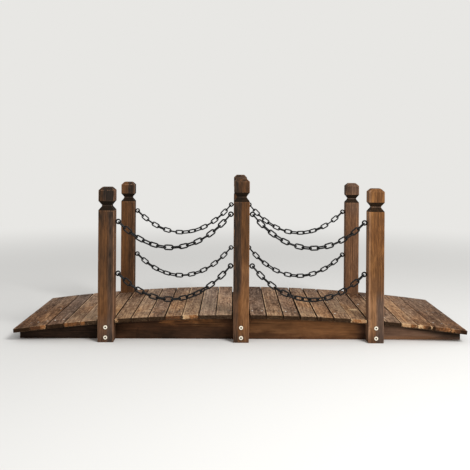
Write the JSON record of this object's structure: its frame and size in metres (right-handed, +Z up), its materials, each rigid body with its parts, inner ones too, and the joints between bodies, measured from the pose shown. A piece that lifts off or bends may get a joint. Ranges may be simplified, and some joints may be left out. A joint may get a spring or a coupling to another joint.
{
  "type": "moon bridge",
  "caption": "Low-arched wooden garden footbridge: cross planks on flat-bottomed arched beams, square posts with grooved heads, and sagging iron chains as a rail.",
  "frame": {"origin": "centre of the bridge on the ground plane that its beams and posts rest on", "axes": "+X along the bridge to the right as seen from the front, +Y across it towards the rear rail, +Z up"},
  "size_m": [1.8242, 0.667, 0.657],
  "materials": {
    "beam_wood": "dark stained softwood, open grain, matt",
    "deck_wood": "weathered greyish brown stain, sawn faces, matt",
    "post_wood": "heat-darkened reddish brown softwood with vertical grain, matt",
    "chain_iron": "black lacquer, low sheen",
    "bolt_steel": "plated, satin"
  },
  "bodies": {
    "root": {"front_beam": "beam_wood", "centre_beam": "beam_wood", "rear_beam": "beam_wood", "plank_01": "deck_wood", "plank_02": "deck_wood", "plank_03": "deck_wood", "plank_04": "deck_wood", "plank_05": "deck_wood", "plank_06": "deck_wood", "plank_07": "deck_wood", "plank_08": "deck_wood", "plank_09": "deck_wood", "plank_10": "deck_wood", "plank_11": "deck_wood", "plank_12": "deck_wood", "plank_13": "deck_wood", "plank_14": "deck_wood", "plank_15": "deck_wood", "plank_16": "deck_wood", "plank_17": "deck_wood", "plank_18": "deck_wood", "plank_19": "deck_wood", "plank_20": "deck_wood", "plank_21": "deck_wood", "plank_22": "deck_wood", "plank_23": "deck_wood", "plank_24": "deck_wood", "plank_25": "deck_wood", "plank_26": "deck_wood", "plank_27": "deck_wood", "front_post_left": "post_wood", "front_post_middle": "post_wood", "front_post_right": "post_wood", "rear_post_left": "post_wood", "rear_post_middle": "post_wood", "rear_post_right": "post_wood", "front_left_upper_chain": "chain_iron", "front_left_lower_chain": "chain_iron", "front_right_upper_chain": "chain_iron", "front_right_lower_chain": "chain_iron", "rear_left_upper_chain": "chain_iron", "rear_left_lower_chain": "chain_iron", "rear_right_upper_chain": "chain_iron", "rear_right_lower_chain": "chain_iron", "screw_eyes": "chain_iron", "post_bolts": "bolt_steel"}
  },
  "joints": []
}
